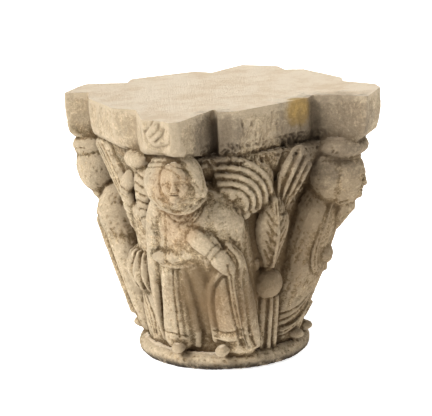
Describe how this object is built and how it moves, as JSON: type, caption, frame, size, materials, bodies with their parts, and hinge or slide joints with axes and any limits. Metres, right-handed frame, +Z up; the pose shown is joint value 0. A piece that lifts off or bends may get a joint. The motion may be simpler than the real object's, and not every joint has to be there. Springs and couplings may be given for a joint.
{
  "type": "figured capital",
  "caption": "Carved stone capital: a round foot for a column, clothed figures leaning out under the corners of a notched slab, and leaves on the bell between them.",
  "frame": {"origin": "middle of the round sawn underside of the neck ring, which sits on the column", "axes": "+Z up the column's axis; the sides with leaves face +X, -X, +Y and -Y, and the figures stand on the diagonals, the veiled one at -X -Y"},
  "size_m": [0.3209, 0.3152, 0.324],
  "materials": {
    "stone": "weathered buff limestone, matt, with brown staining in the hollows"
  },
  "bodies": {
    "root": {"capital": "stone"}
  },
  "joints": []
}
